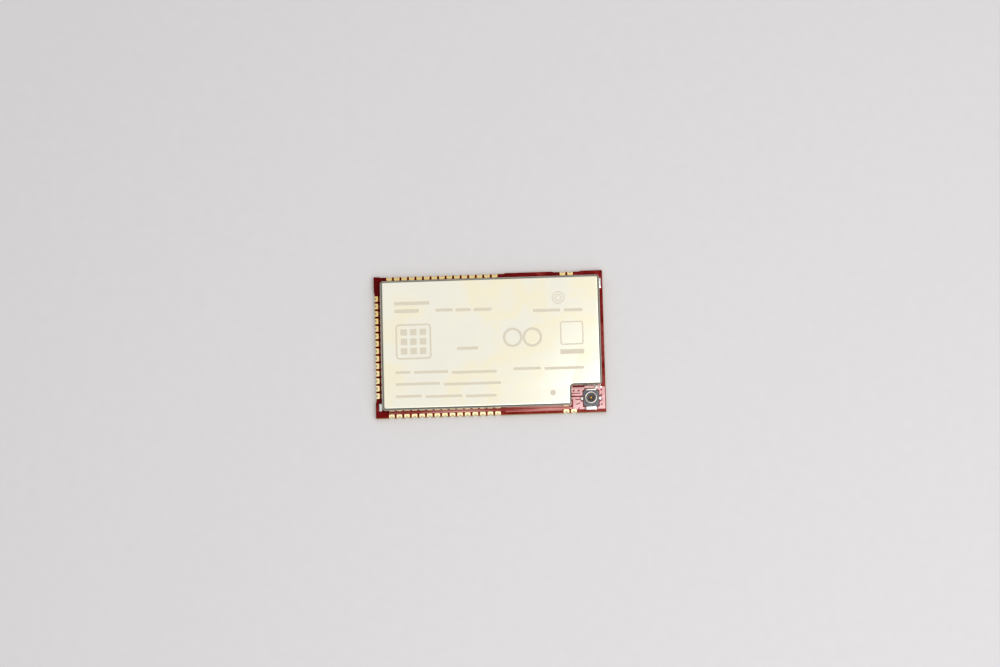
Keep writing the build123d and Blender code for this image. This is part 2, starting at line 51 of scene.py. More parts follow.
def makeCamera():
    data = bpy.data.cameras.new("photoCamera")
    camera = bpy.data.objects.new("photoCamera", data)
    bpy.context.scene.collection.objects.link(camera)
    place = Vector(cameraSet["place"]) * mm
    back = (place - Vector(cameraSet["target"]) * mm).normalized()
    right = Vector((0, 1, 0)).cross(back).normalized()
    aim = Matrix((right, back.cross(right), back)).transposed().to_4x4()
    roll = Matrix.Rotation(math.radians(cameraSet["roll"]), 4, "Z")
    camera.matrix_world = Matrix.Translation(place) @ aim @ roll
    data.lens = cameraSet["lens"]
    data.sensor_width = cameraSet["sensor"]
    data.clip_start = cameraSet["nearest"]
    data.clip_end = cameraSet["farthest"]
    bpy.context.scene.camera = camera


makeCamera()
print("stage: camera")


# sRGB hex to the linear colour that shaders use
def linear(hexValue):
    parts = [int(hexValue[i:i + 2], 16) / 255 for i in (1, 3, 5)]
    return tuple(c / 12.92 if c <= 0.04045 else ((c + 0.055) / 1.055) ** 2.4 for c in parts) + (1.0,)


# Adds one node with its settings, its inputs, which are values or another node's sockets, and for a colour ramp its
# stops, which are pairs of a place from 0 to 1 and a hex colour
def add(tree, kind, inputs=None, stops=(), **settings):
    node = tree.nodes.new(kind)
    for key, value in settings.items():
        setattr(node, key, value)
    for key, value in (inputs or {}).items():
        if isinstance(value, bpy.types.NodeSocket):
            tree.links.new(value, node.inputs[key])
        else:
            node.inputs[key].default_value = value
    if stops:
        steps = node.color_ramp.elements
        while len(steps) < len(stops):
            steps.new(0.5)
        for step, (place, colour) in zip(steps, stops):
            step.position = place
            step.color = linear(colour)
    return node


# A new material with its node tree and its shader
def newMaterial(name):
    material = bpy.data.materials.new(name)
    material.use_nodes = True
    tree = material.node_tree
    shader = next(n for n in tree.nodes if n.type == "BSDF_PRINCIPLED")
    return material, tree, shader


# Fine relief from a noise whose grain is a real size in millimetres, as its height is. Gives the noise back
def grain(tree, shader, size, height):
    place = add(tree, "ShaderNodeTexCoord").outputs["Object"]
    noise = add(tree, "ShaderNodeTexNoise", {"Vector": place, "Scale": 1 / (size * mm), "Detail": 3.0})
    bump = add(tree, "ShaderNodeBump", {"Height": noise.outputs["Fac"], "Distance": height * mm, "Strength": 1.0})
    tree.links.new(bump.outputs["Normal"], shader.inputs["Normal"])
    return noise.outputs["Fac"]


# Red solder mask: a glossy cured resin film. Over copper it looks lighter and pink: the copper under it makes it
# lighter, and the pink, palest in the open corner, is a painted sheen of the lamp. Over bare laminate it is deep red,
# and the sawn edge of the board shows the yellow-brown glass fibre. Sizes in millimetres; copperShare says where in
# the copper's rise the pink starts and is full
maskSet = {"boardTop": 1.0, "copperRise": 0.035, "copperShare": (0.4, 0.8), "openCornerWest": 13.3,
           "deep": ((0.28, "#5E0302"), (0.46, "#700807"), (0.62, "#861C1A"), (0.8, "#98403B")),
           "openCornerCopperSheen": ((0.3, "#DBA5A6"), (0.7, "#F0CBCC")), "nearTrackCopperSheen": ((0.35, "#9A443F"), (0.65, "#D4948D")),
           "laminate": ((0.2, "#A98B58"), (0.8, "#C4A772")), "layer": 0.9, "layerWobble": 1.5, "sawnBelow": 0.98,
           "sawnTilt": 0.5, "cloud": 1.6, "detail": 3.0, "streakDetail": 2.0, "paintedLightDrift": (9.0, -8.0, 0),
           "streak": (0.2, 2.0, 1.0), "rough": (0.28, 0.75), "grain": (0.35, 0.004), "shine": 0.04, "metal": 0.5}


def solderMask():
    material, tree, shader = newMaterial("solderMask")
    place = add(tree, "ShaderNodeTexCoord").outputs["Object"]
    parts = add(tree, "ShaderNodeSeparateXYZ", {"Vector": place}).outputs
    low, high = ((maskSet["boardTop"] + share * maskSet["copperRise"]) * mm for share in maskSet["copperShare"])
    copper = add(tree, "ShaderNodeMapRange", {"Value": parts["Z"], "From Min": low, "From Max": high})
    copper = copper.outputs["Result"]
    scale = 1 / (maskSet["cloud"] * mm)
    cloud = add(tree, "ShaderNodeTexNoise", {"Vector": place, "Scale": scale, "Detail": maskSet["detail"]})
    # The open corner's pale, cloudy pink over copper is painted sheen
    corner = add(tree, "ShaderNodeValToRGB", {"Fac": cloud.outputs["Fac"]}, stops=maskSet["openCornerCopperSheen"])
    # Along the near edge, over the track, the pink shows long streaks: a painted sheen of the lamp on the film
    long = add(tree, "ShaderNodeVectorMath", {0: place, 1: maskSet["streak"]}, operation="MULTIPLY")
    streak = add(tree, "ShaderNodeTexNoise", {"Vector": long.outputs["Vector"], "Scale": scale,
                                              "Detail": maskSet["streakDetail"]})
    track = add(tree, "ShaderNodeValToRGB", {"Fac": streak.outputs["Fac"]}, stops=maskSet["nearTrackCopperSheen"])
    east = add(tree, "ShaderNodeMath", {0: parts["X"], 1: maskSet["openCornerWest"] * mm},
               operation="GREATER_THAN")
    pink = add(tree, "ShaderNodeMix", {0: east.outputs[0], 6: track.outputs["Color"], 7: corner.outputs["Color"]},
               data_type="RGBA").outputs[2]
    # Painted light: the deep red is lighter towards the near right corner, where the lamp stands, and darker towards
    # the far left, where the can casts its shade
    paintedLightDrift = add(tree, "ShaderNodeVectorMath", {0: place, 1: maskSet["paintedLightDrift"]}, operation="DOT_PRODUCT")
    deepAndPaintedLight = add(tree, "ShaderNodeMath", {0: cloud.outputs["Fac"], 1: paintedLightDrift.outputs["Value"]}, operation="ADD")
    deep = add(tree, "ShaderNodeValToRGB", {"Fac": deepAndPaintedLight.outputs[0]}, stops=maskSet["deep"])
    mask = add(tree, "ShaderNodeMix", {0: copper, 6: deep.outputs["Color"], 7: pink}, data_type="RGBA").outputs[2]
    # The sawn edge is what stands upright below the mask
    facing = add(tree, "ShaderNodeNewGeometry").outputs["Normal"]
    upward = add(tree, "ShaderNodeSeparateXYZ", {"Vector": facing}).outputs["Z"]
    flat = add(tree, "ShaderNodeMath", {0: upward}, operation="ABSOLUTE").outputs[0]
    below = add(tree, "ShaderNodeMath", {0: parts["Z"], 1: maskSet["sawnBelow"] * mm}, operation="LESS_THAN")
    side = add(tree, "ShaderNodeMath", {0: flat, 1: maskSet["sawnTilt"]}, operation="LESS_THAN")
    sawn = add(tree, "ShaderNodeMath", {0: below.outputs[0], 1: side.outputs[0]}, operation="MULTIPLY").outputs[0]
    # Woven glass shows as fine layers in it
    layers = add(tree, "ShaderNodeTexWave", {"Vector": place, "Scale": 1 / (maskSet["layer"] * mm),
                                             "Distortion": maskSet["layerWobble"]}, bands_direction="Z")
    glass = add(tree, "ShaderNodeValToRGB", {"Fac": layers.outputs["Fac"]}, stops=maskSet["laminate"])
    colour = add(tree, "ShaderNodeMix", {0: sawn, 6: mask, 7: glass.outputs["Color"]}, data_type="RGBA")
    tree.links.new(colour.outputs[2], shader.inputs["Base Color"])
    smooth, dull = maskSet["rough"]
    rough = add(tree, "ShaderNodeMapRange", {"Value": sawn, "To Min": smooth, "To Max": dull})
    tree.links.new(rough.outputs["Result"], shader.inputs["Roughness"])
    metal = add(tree, "ShaderNodeMath", {0: copper, 1: maskSet["metal"]}, operation="MULTIPLY").outputs[0]
    tree.links.new(metal, shader.inputs["Metallic"])
    # The film's own shine is kept low, as its sheen is painted into the pink colour
    shader.inputs["Specular IOR Level"].default_value = maskSet["shine"]
    grain(tree, shader, *maskSet["grain"])
    return material


# Tin plate: cold-rolled sheet with a fused tin layer, which gives a bright, slightly cloudy, warm white gloss that
# mirrors what stands close to it. Its warm cloudy patches are partly the tin's own tone and partly painted
# reflection, and its tone drifts towards the near right, where the lamp stands. Round the bend and on the walls it is
# painted a darker grey, as painted shade that also dims their glints; flat says at which upward part of the normal
# the sheet starts to count as flat and fully does
tinSet = {"tones": ((0.3, "#EDEBDF"), (0.46, "#F0EDDF"), (0.56, "#F3ECD2"), (0.72, "#EEEBDC")),
          "drawn": ((0.3, "#B1AEA3"), (0.7, "#C2BEB1")), "flat": (0.965, 0.998), "cloud": 8.0, "detail": 3.0,
          "paintedLightDrift": (4.0, -6.0, 0), "rough": (0.12, 0.2), "wave": (3.0, 0.001)}


def tinPlate():
    material, tree, shader = newMaterial("tinPlate")
    place = add(tree, "ShaderNodeTexCoord").outputs["Object"]
    cloud = add(tree, "ShaderNodeTexNoise", {"Vector": place, "Scale": 1 / (tinSet["cloud"] * mm),
                                             "Detail": tinSet["detail"]}).outputs["Fac"]
    # Painted reflection: the tone drifts towards the near right, where the lamp stands
    paintedLightDrift = add(tree, "ShaderNodeVectorMath", {0: place, 1: tinSet["paintedLightDrift"]}, operation="DOT_PRODUCT")
    tone = add(tree, "ShaderNodeMath", {0: cloud, 1: paintedLightDrift.outputs["Value"]}, operation="ADD").outputs[0]
    facing = add(tree, "ShaderNodeNewGeometry").outputs["Normal"]
    upward = add(tree, "ShaderNodeSeparateXYZ", {"Vector": facing}).outputs["Z"]
    bent, level = tinSet["flat"]
    flat = add(tree, "ShaderNodeMapRange", {"Value": upward, "From Min": bent, "From Max": level})
    # Painted shade: the walls and the bend, which turn away from upward, are a darker grey, which also dims their
    # glints
    drawn = add(tree, "ShaderNodeValToRGB", {"Fac": cloud}, stops=tinSet["drawn"])
    bright = add(tree, "ShaderNodeValToRGB", {"Fac": tone}, stops=tinSet["tones"])
    colour = add(tree, "ShaderNodeMix", {0: flat.outputs["Result"], 6: drawn.outputs["Color"],
                                         7: bright.outputs["Color"]}, data_type="RGBA")
    tree.links.new(colour.outputs[2], shader.inputs["Base Color"])
    shader.inputs["Metallic"].default_value = 1.0
    smooth, dull = tinSet["rough"]
    rough = add(tree, "ShaderNodeMapRange", {"Value": cloud, "To Min": smooth, "To Max": dull})
    tree.links.new(rough.outputs["Result"], shader.inputs["Roughness"])
    grain(tree, shader, *tinSet["wave"])
    return material


# Plated and frozen metals: the tone follows a fine grain, and may drift over the object as painted light
def platedMetal(name, dark, light, roughness, size, height, middle=(), paintedLightDrift=(0, 0, 0)):
    material, tree, shader = newMaterial(name)
    place = add(tree, "ShaderNodeTexCoord").outputs["Object"]
    shift = add(tree, "ShaderNodeVectorMath", {0: place, 1: paintedLightDrift}, operation="DOT_PRODUCT")
    tone = add(tree, "ShaderNodeMath", {0: grain(tree, shader, size, height), 1: shift.outputs["Value"]},
               operation="ADD").outputs[0]
    colour = add(tree, "ShaderNodeValToRGB", {"Fac": tone}, stops=[dark, *middle, light])
    tree.links.new(colour.outputs["Color"], shader.inputs["Base Color"])
    shader.inputs["Metallic"].default_value = 1.0
    shader.inputs["Roughness"].default_value = roughness
    return material


# Plastics, epoxy and ceramics: a base tone that varies a little, and moulding grain at a real size
def mouldedStuff(name, dark, light, roughness, size, height):
    material, tree, shader = newMaterial(name)
    tone = grain(tree, shader, size, height)
    colour = add(tree, "ShaderNodeValToRGB", {"Fac": tone}, stops=[(0.3, dark), (0.7, light)])
    tree.links.new(colour.outputs["Color"], shader.inputs["Base Color"])
    shader.inputs["Roughness"].default_value = roughness
    return material


# Each finish with its darkest and lightest tone, roughness, grain size and grain height in millimetres
finishes = {
    "solderMask": solderMask(),
    "tinPlate": tinPlate(),
    # Immersion gold over nickel: bright, and a little grainy from the copper under it; it is painted paler towards
    # the near edge, a painted light from the lamp at the near right
    "gold": platedMetal("immersionGold", (0.24, "#D9BB75"), (0.7, "#FFF0BF"), 0.32, 0.12, 0.006,
                        middle=[(0.42, "#EBD38F")], paintedLightDrift=(4.0, -17.0, 0)),
    # Hard gold plated thickly on the receptacle's pin: deeper and more orange
    "hardGold": platedMetal("hardGold", (0.3, "#DDA445"), (0.7, "#F5C766"), 0.32, 0.12, 0.006),
    # Reflowed tin alloy solder: smooth, bright, faintly frosted where it froze
    "solder": platedMetal("reflowedSolder", (0.3, "#E9E9E6"), (0.7, "#FBFBF9"), 0.25, 0.2, 0.008),
    # Silver plating on the receptacle's stamped shell: bright, slightly warm
    "silver": platedMetal("silverPlate", (0.3, "#DAD6CB"), (0.7, "#ECE9E0"), 0.2, 0.15, 0.002),
    # Glass-filled liquid-crystal polymer: matt dark grey with a faint flow grain
    "polymer": mouldedStuff("liquidCrystalPolymer", "#62626A", "#74747D", 0.45, 0.2, 0.004),
    # The same polymer in the well round the pin, painted darker as the shade in the recess
    "well": mouldedStuff("shadedWellPolymer", "#4A4A52", "#57575F", 0.45, 0.2, 0.004),
    # Epoxy moulding compound: near black, fine matt grit from the spark-eroded mould
    "epoxy": mouldedStuff("epoxyMouldingCompound", "#1B1B1D", "#26262A", 0.6, 0.08, 0.004),
    # Fired alumina package: dark grey, dry
    "alumina": mouldedStuff("darkAlumina", "#2B2826", "#3A3634", 0.7, 0.1, 0.003),
    # Pressed ferrite: dull grey with a coarse grain
    "ferrite": mouldedStuff("pressedFerrite", "#2A2A2B", "#3D3D3E", 0.8, 0.15, 0.008),
    # White bobbin ceramic: smooth, half gloss
    "bobbin": mouldedStuff("bobbinCeramic", "#DAD7CD", "#E9E6DD", 0.5, 0.1, 0.002),
    # Barium titanate capacitor body: tan, matt
    "titanate": mouldedStuff("bariumTitanate", "#8A6A4A", "#A3825C", 0.55, 0.06, 0.002),
    # Resistor glaze: black glass
    "glaze": mouldedStuff("resistorGlaze", "#101012", "#1B1B1F", 0.2, 0.1, 0.001),
    # Epoxy ink in the vias: glossy dark red
    "viaInk": mouldedStuff("epoxyViaInk", "#8C1C28", "#A8303C", 0.35, 0.1, 0.002),
    # Laser-etched tin: the gloss is burnt to a matt warm grey
    "laserMark": mouldedStuff("laserEtchedTin", "#D9D0BA", "#E0D8C4", 0.6, 0.1, 0.002),
    # Enamelled copper wire: clear brown varnish over copper
    "enamelWire": mouldedStuff("enamelledCopper", "#8E4322", "#B45C30", 0.25, 0.1, 0.006),
}
# Nodes that aren't named here are solder or tinned ends
nodeFinish = {
    "board": "solderMask",
    "shield_can": "tinPlate",
    "north_edge_pads": "gold",
    "south_edge_pads": "gold",
    "west_edge_pads": "gold",
    "coax_contact": "hardGold",
    "coax_shell": "silver",
    "coax_body": "polymer",
    "radio_chip": "epoxy",
    "power_amplifier": "epoxy",
    "voltage_regulator": "epoxy",
    "antenna_switch": "epoxy",
    "receive_amplifier": "epoxy",
    "main_crystal_base": "alumina",
    "clock_crystal_base": "alumina",
    "main_crystal_lid": "silver",
    "clock_crystal_lid": "silver",
    "supply_choke": "ferrite",
    "filter_coil_cores": "bobbin",
    "filter_coil_windings": "enamelWire",
    "capacitors": "titanate",
    "bulk_capacitors": "titanate",
    "resistors": "glaze",
}
for name, node in nodes.items():
    finish = finishes[nodeFinish.get(name, "solder")]
    if node.data.materials:
        for index in range(len(node.data.materials)):
            node.data.materials[index] = finish
    else:
        node.data.materials.append(finish)
print("stage: finishes on", len(nodes), "nodes")


# Lowest and highest corner of a node's box, in millimetres
def boxOf(name):
    low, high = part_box(name)
    return np.array(low) / mm, np.array(high) / mm


# Outlines of X and Y, one for each height, made into rings of X, Y and Z
def lifted(flat, heights):
    heights = np.asarray(heights, float)[:, None, None]
    return np.concatenate([flat, np.broadcast_to(heights, flat.shape[:2] + (1,))], -1)


# A skin over rings of points, given row by row. The rows run up the outside and each ring runs counterclockwise, so
# faces point outwards. A flat face covers the first and last ring, unless the rows close on themselves
def skin(rings, closed=False):
    rows, columns = rings.shape[:2]
    i = np.arange(rows if closed else rows - 1)[:, None]
    j = np.arange(columns)[None, :]
    above, beside = (i + 1) % rows, (j + 1) % columns
    quads = np.stack(np.broadcast_arrays(i * columns + j, i * columns + beside, above * columns + beside,
                                         above * columns + j), -1).reshape(-1, 4)
    ring = np.arange(columns)
    ends = [] if closed else [np.stack([ring[::-1], ring + (rows - 1) * columns])]
    return rings.reshape(-1, 3), [quads] + ends


# The same skin set down at several places
def repeated(part, places):
    points, blocks = part
    shift = len(points) * np.arange(len(places))[:, None, None]
    moved = points[None] + np.asarray(places, float)[:, None]
    return moved.reshape(-1, 3), [(block[None] + shift).reshape(-1, block.shape[1]) for block in blocks]


# A skin turned about the Z axis by degrees
def turned(part, degrees):
    c, s = math.cos(math.radians(degrees)), math.sin(math.radians(degrees))
    return part[0] @ np.array([[c, s, 0], [-s, c, 0], [0, 0, 1]]), part[1]


# A mesh from several skins
def meshOf(name, parts):
    starts = np.cumsum([0] + [len(points) for points, _ in parts])
    points = np.concatenate([points for points, _ in parts]) * mm
    blocks = [block + start for start, (_, own) in zip(starts, parts) for block in own]
    mesh = bpy.data.meshes.new(name)
    mesh.from_pydata(points.tolist(), [], [face for block in blocks for face in block.tolist()])
    return mesh


# Smooth faces meet in a sharp line where they turn by more than this
creaseAngle = math.radians(40)


# One mesh piece from several skins, dressed, riding on the body and standing for the CAD nodes that it replaces
def makePiece(name, parts, finish, stands=()):
    mesh = meshOf(name, parts)
    mesh.polygons.foreach_set("use_smooth", np.ones(len(mesh.polygons), bool))
    mesh.set_sharp_from_angle(angle=creaseAngle)
    mesh.materials.append(finishes[finish])
    piece = bpy.data.objects.new(name, mesh)
    bpy.context.scene.collection.objects.link(piece)
    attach(piece, "root")
    if stands:
        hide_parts(*stands)
    return piece


# Cuts a form out of a piece, and makes the result the piece's own mesh
def cutAway(piece, part):
    cutter = bpy.data.objects.new("cutter", meshOf("cutter", [part]))
    bpy.context.scene.collection.objects.link(cutter)
    cut = piece.modifiers.new("cut", "BOOLEAN")
    cut.operation, cut.solver, cut.object = "DIFFERENCE", "EXACT", cutter
    whole = bpy.data.meshes.new_from_object(piece.evaluated_get(bpy.context.evaluated_depsgraph_get()))
    piece.modifiers.clear()
    piece.data = whole
    whole.set_sharp_from_angle(angle=creaseAngle)
    bpy.data.objects.remove(cutter)


# Quarter arc steps from 0 to 90 degrees, as cosines and sines
def quarter(steps):
    turn = np.linspace(0, np.pi / 2, steps + 1)
    return np.cos(turn), np.sin(turn)


# Outline of a rectangle with rounded corners, counterclockwise from the lower right, with the outward direction at
# each point: each corner is a quarter circle about its own centre, and each side has its own steps between corners
def roundedOutline(halfX, halfY, corner, cornerSteps=4, sideSteps=1):
    c, s = quarter(cornerSteps)
    directions = np.concatenate([np.stack(pair, -1) for pair in ((s, -c), (c, s), (-s, c), (-c, -s))])
    signs = np.repeat([(1, -1), (1, 1), (-1, 1), (-1, -1)], cornerSteps + 1, axis=0)
    points = signs * (np.array([halfX, halfY]) - corner) + corner * directions
    if sideSteps == 1:
        return points, directions
    beyond = np.roll(points, -1, axis=0)
    share = np.arange(sideSteps)[None, :, None] / sideSteps
    straight = (np.arange(len(points)) % (cornerSteps + 1) == cornerSteps)[:, None]
    kept = straight | (np.arange(sideSteps) == 0)[None]
    filled = points[:, None] + share * (beyond - points)[:, None]
    ways = np.repeat(directions[:, None], sideSteps, axis=1)
    return filled[kept], ways[kept]


# A slab over a rectangle with rounded corners: straight sides and a quarter-round top edge
def slab(x0, x1, y0, y1, z0, z1, corner, edge, edgeSteps=2):
    outline, ways = roundedOutline((x1 - x0) / 2, (y1 - y0) / 2, corner)
    c, s = quarter(edgeSteps)
    inset = np.concatenate([[0], edge * (1 - c)])
    centre = np.array([(x0 + x1) / 2, (y0 + y1) / 2])
    flat = centre + outline[None] - inset[:, None, None] * ways[None]
    return skin(lifted(flat, np.concatenate([[z0], z1 - edge + edge * s])))


# A turned form: the profile of radius and height carried round a full circle about its own axis
def turnedForm(x, y, profile, steps, closed):
    angle = np.arange(steps) * 2 * np.pi / steps
    radius, height = np.array(profile).T
    flat = np.stack([x + radius[:, None] * np.cos(angle), y + radius[:, None] * np.sin(angle)], -1)
    return skin(lifted(flat, height), closed)


# Shield can: the profile of the sheet, from the ceiling down the inside, round the rim, up the outside and over the
# bend, is carried round the L-shaped path. Each corner is an arc about its own centre, and the centre moves inwards
# with height by the lean of the two walls that meet there. The opening's values are its sides, foot and top
canSet = {"sheet": 0.2, "bend": 0.45, "corner": 0.55, "innerCorner": 0.3, "longLean": 4.0, "westLean": 9.5,
          "notchWest": 13.6, "notchNorth": -7.77, "cornerSteps": 8, "bendSteps": 8, "printRoom": 0.006,
          "opening": (13.72, 15.75, -8.2, -7.1, 0.9, 2.45), "openingRound": 0.25}


def makeCan():
    low, high = boxOf("shield_can")
    height = high[2] - low[2] - canSet["printRoom"]
    leanY, leanX = (math.tan(math.radians(canSet[key])) for key in ("longLean", "westLean"))
    west, north = canSet["notchWest"], canSet["notchNorth"]
    # Each wall's outward direction, and how far it moves along X and Y for each millimetre of height
    walls = {"S": (0, -1, 0, leanY), "E": (1, 0, 0, 0), "N": (0, 1, 0, -leanY), "W": (-1, 0, leanX, 0)}
    # Each corner's place, the wall before and after it, and whether it points outwards
    corners = [((low[0], low[1]), "WS", 1), ((west, low[1]), "SE", 1), ((west, north), "ES", -1),
               ((high[0], north), "SE", 1), ((high[0], high[1]), "EN", 1), ((low[0], high[1]), "NW", 1)]
    c, s = quarter(canSet["cornerSteps"])
    centres, ways, reach, shift = [], [], [], []
    for place, pair, outwards in corners:
        before, after = np.array(walls[pair[0]]), np.array(walls[pair[1]])
        radius = canSet["corner"] if outwards > 0 else canSet["innerCorner"]
        centres.append(np.tile(place - outwards * radius * (before[:2] + after[:2]), (len(c), 1)))
        ways.append(c[:, None] * before[:2] + s[:, None] * after[:2])
        reach.append(np.full(len(c), outwards * radius))
        shift.append(np.tile(before[2:] + after[2:], (len(c), 1)))
    centres, ways, reach, shift = (np.concatenate(values) for values in (centres, ways, reach, shift))
    bend, inside = canSet["bend"], canSet["bend"] - canSet["sheet"]
    c, s = quarter(canSet["bendSteps"])
    inset = np.concatenate([bend - inside * c[::-1], [canSet["sheet"], 0], bend - bend * c])
    rise = np.concatenate([height - bend + inside * s[::-1], [0, 0], height - bend + bend * s])
    flat = centres + shift * rise[:, None, None] + ways * (reach[:, None] - inset[:, None, None])
    can = makePiece("drawn_can", [skin(lifted(flat, low[2] + rise))], "tinPlate", ["shield_can"])
    # The antenna track leaves the can through a small opening at the foot of the notch wall
    cutAway(can, slab(*canSet["opening"], canSet["openingRound"], canSet["openingRound"]))
    return low[2] + height


canTop = makeCan()
print("stage: can")

# Plain marks that a laser has etched on the can: bars, frames, rings and a block of squares in a matt tone, and one
# round dot. Bars and frames are given by their left, right, lower and upper edge, rings by their centre and outer
# radius, and frames and rings end with their line width
markSet = {
    "bars": [(-15.7, -9.8, 6.7, 7.3), (-15.7, -11.6, 5.4, 6.0), (-8.8, -5.9, 5.45, 5.95), (-5.4, -2.9, 5.4, 5.9),
             (-2.4, 0.6, 5.35, 5.85), (7.5, 12.1, 4.85, 5.35), (12.7, 15.8, 4.8, 5.3), (-5.3, -1.8, -1.15, -0.65),
             (11.9, 15.9, -2.4, -1.6), (-15.7, -13.2, -4.9, -4.45), (-12.6, -6.9, -4.95, -4.5),
             (-6.3, 1.2, -5.15, -4.7), (4.0, 8.6, -4.85, -4.4), (9.2, 15.8, -4.95, -4.5),
             (-15.7, -8.3, -6.9, -6.45), (-7.7, 1.9, -7.1, -6.65), (-15.7, -11.4, -8.95, -8.5),
             (-10.8, -4.6, -9.1, -8.65), (-4.0, 1.1, -9.2, -8.75)],
    "frames": [(-15.6, -9.6, -2.5, 3.5, 0.3), (11.95, 15.85, -0.85, 3.15, 0.22)],
    "rings": [(4.0, 0.7, 1.65, 0.42), (7.3, 0.65, 1.65, 0.42), (11.8, 7.2, 1.05, 0.16), (11.8, 7.2, 0.6, 0.16)],
    "blockLeft": -14.75, "blockLower": -1.65, "blockSide": 1.1, "blockPitch": 1.6, "blocksAcross": 3,
    "dotPlace": (10.51, -8.84), "dotRadius": 0.47, "corner": 0.12, "edge": 0.002, "sink": 0.004, "steps": 48,
}


def makeMarks():
    low, high = canTop - markSet["sink"], canTop + canSet["printRoom"]
    corner, edge, steps = markSet["corner"], markSet["edge"], markSet["steps"]
    parts = [slab(*sides, low, high, corner, edge, edgeSteps=1) for sides in markSet["bars"]]
    # A frame is a rounded outline with a line width: its profile runs up the outside and down the inside
    for x0, x1, y0, y1, line in markSet["frames"]:
        outline, ways = roundedOutline((x1 - x0) / 2, (y1 - y0) / 2, 2 * line)
        inset = np.array([0, 0, line, line])[:, None, None]
        flat = np.array([(x0 + x1) / 2, (y0 + y1) / 2]) + outline - inset * ways
        parts.append(skin(lifted(flat, [low, high, high, low]), closed=True))
    for x, y, radius, line in markSet["rings"]:
        profile = [(radius, low), (radius, high), (radius - line, high), (radius - line, low)]
        parts.append(turnedForm(x, y, profile, steps, closed=True))
    side, pitch, across = markSet["blockSide"], markSet["blockPitch"], markSet["blocksAcross"]
    block = slab(0, side, 0, side, low, high, corner, edge, edgeSteps=1)
    column, row = np.divmod(np.arange(across ** 2), across)
    places = np.stack([markSet["blockLeft"] + column * pitch, markSet["blockLower"] + row * pitch, 0 * row], -1)
    parts.append(repeated(block, places))
    radius = markSet["dotRadius"]
    parts.append(turnedForm(*markSet["dotPlace"], [(radius, low), (radius, high)], steps, closed=False))
    makePiece("etched_marks", parts, "laserMark")


makeMarks()
print("stage: marks")

# Edge pads: the profile of the plating, up the half hole, over the land, down and round the foot underneath, is
# carried round the half circle of the hole, and reaches out to the rounded outline of the land at each angle.
# sideSteps and overSteps are the points along the land's side and its inner end
padSet = {"width": 0.95, "reach": 0.58, "foot": 1.1, "corner": 0.16, "hole": 0.25, "plating": 0.05, "copper": 0.035,
          "roundOff": 0.02, "sideSteps": 4, "cornerSteps": 6, "overSteps": 7, "pitch": 1.27, "longRow": 15,
          "longRowWest": -16.6, "antennaRow": (12.61, 13.88), "westRow": 14}


def padSkin():
    half, reach, corner = padSet["width"] / 2, padSet["reach"], padSet["corner"]
    along, over = padSet["sideSteps"], padSet["overSteps"]
    c, s = quarter(padSet["cornerSteps"])
    side = np.stack([np.full(along, half), np.linspace(0, reach - corner, along + 1)[:-1]], -1)
    bend = np.stack([half - corner + corner * c, reach - corner + corner * s], -1)
    end = np.stack([np.linspace(half - corner, corner - half, over + 2)[1:-1], np.full(over, reach)], -1)
    right = np.concatenate([side, bend])
    land = np.concatenate([right, end, right[::-1] * (-1, 1)])
    away = land / np.linalg.norm(land, axis=1, keepdims=True)
    # The foot is the land's outline pushed out to a plain rectangle and made longer
    square = land / np.maximum(np.abs(land[:, :1]) / half, land[:, 1:] / reach)
    foot = square * (1, padSet["foot"] / reach)
    hole, barrel = away * padSet["hole"], away * (padSet["hole"] + padSet["plating"])
    top, copper, off = boxOf("board")[1][2], padSet["copper"], padSet["roundOff"]
    profile = [(hole, 0), (hole, top), (hole + away * off, top + copper), (land - away * off, top + copper),
               (land, top + copper - off), (land, top - copper), (barrel, top - copper), (barrel, copper),
               (foot, copper), (foot, 0)]
    outlines, heights = zip(*profile)
    return skin(lifted(np.stack(outlines), heights).swapaxes(0, 1))


def makePads():
    pad = padSkin()
    rowX = padSet["longRowWest"] + padSet["pitch"] * np.arange(padSet["longRow"])
    rowX = np.concatenate([rowX, padSet["antennaRow"]])
    rowY = padSet["pitch"] * (np.arange(padSet["westRow"]) - (padSet["westRow"] - 1) / 2)
    zeroX, zeroY = 0 * rowX, 0 * rowY
    north, south = boxOf("north_edge_pads")[1][1], boxOf("south_edge_pads")[0][1]
    west = boxOf("west_edge_pads")[0][0]
    rows = {"north": (180, np.stack([rowX, zeroX + north, zeroX], -1)),
            "south": (0, np.stack([rowX, zeroX + south, zeroX], -1)),
            "west": (-90, np.stack([zeroY + west, rowY, zeroY], -1))}
    for name, (angle, places) in rows.items():
        parts = [repeated(turned(pad, angle), places)]
        makePiece(name + "_plated_pads", parts, "gold", [name + "_edge_pads"])


makePads()
print("stage: edge pads")

# Ways out from a solder mound's middle to its foot, and its corner as a share of its smaller half side
moundSet = {"out": (1, 0.985, 0.95, 0.89, 0.8, 0.65, 0.4, 0.05), "power": 5, "corner": 0.6}


# A frozen solder mound: its foot is a rounded rectangle, and its height falls from the middle to the foot as the
# square root of one minus the fifth power of the way out, more on the side that it leans away from
def mound(x0, x1, y0, y1, z0, height, lean):
    halfX, halfY = (x1 - x0) / 2, (y1 - y0) / 2
    outline, _ = roundedOutline(halfX, halfY, moundSet["corner"] * min(halfX, halfY))
    out = np.array(moundSet["out"])
    flat = out[:, None, None] * outline
    tilt = 1 + flat[..., :1] / halfX * lean[0] + flat[..., 1:] / halfY * lean[1]
    fall = np.sqrt(1 - out ** moundSet["power"])[:, None, None]
    rise = height * fall * tilt / (1 + abs(lean[0]) + abs(lean[1]))
    return skin(np.concatenate([flat + [(x0 + x1) / 2, (y0 + y1) / 2], z0 + rise], -1))


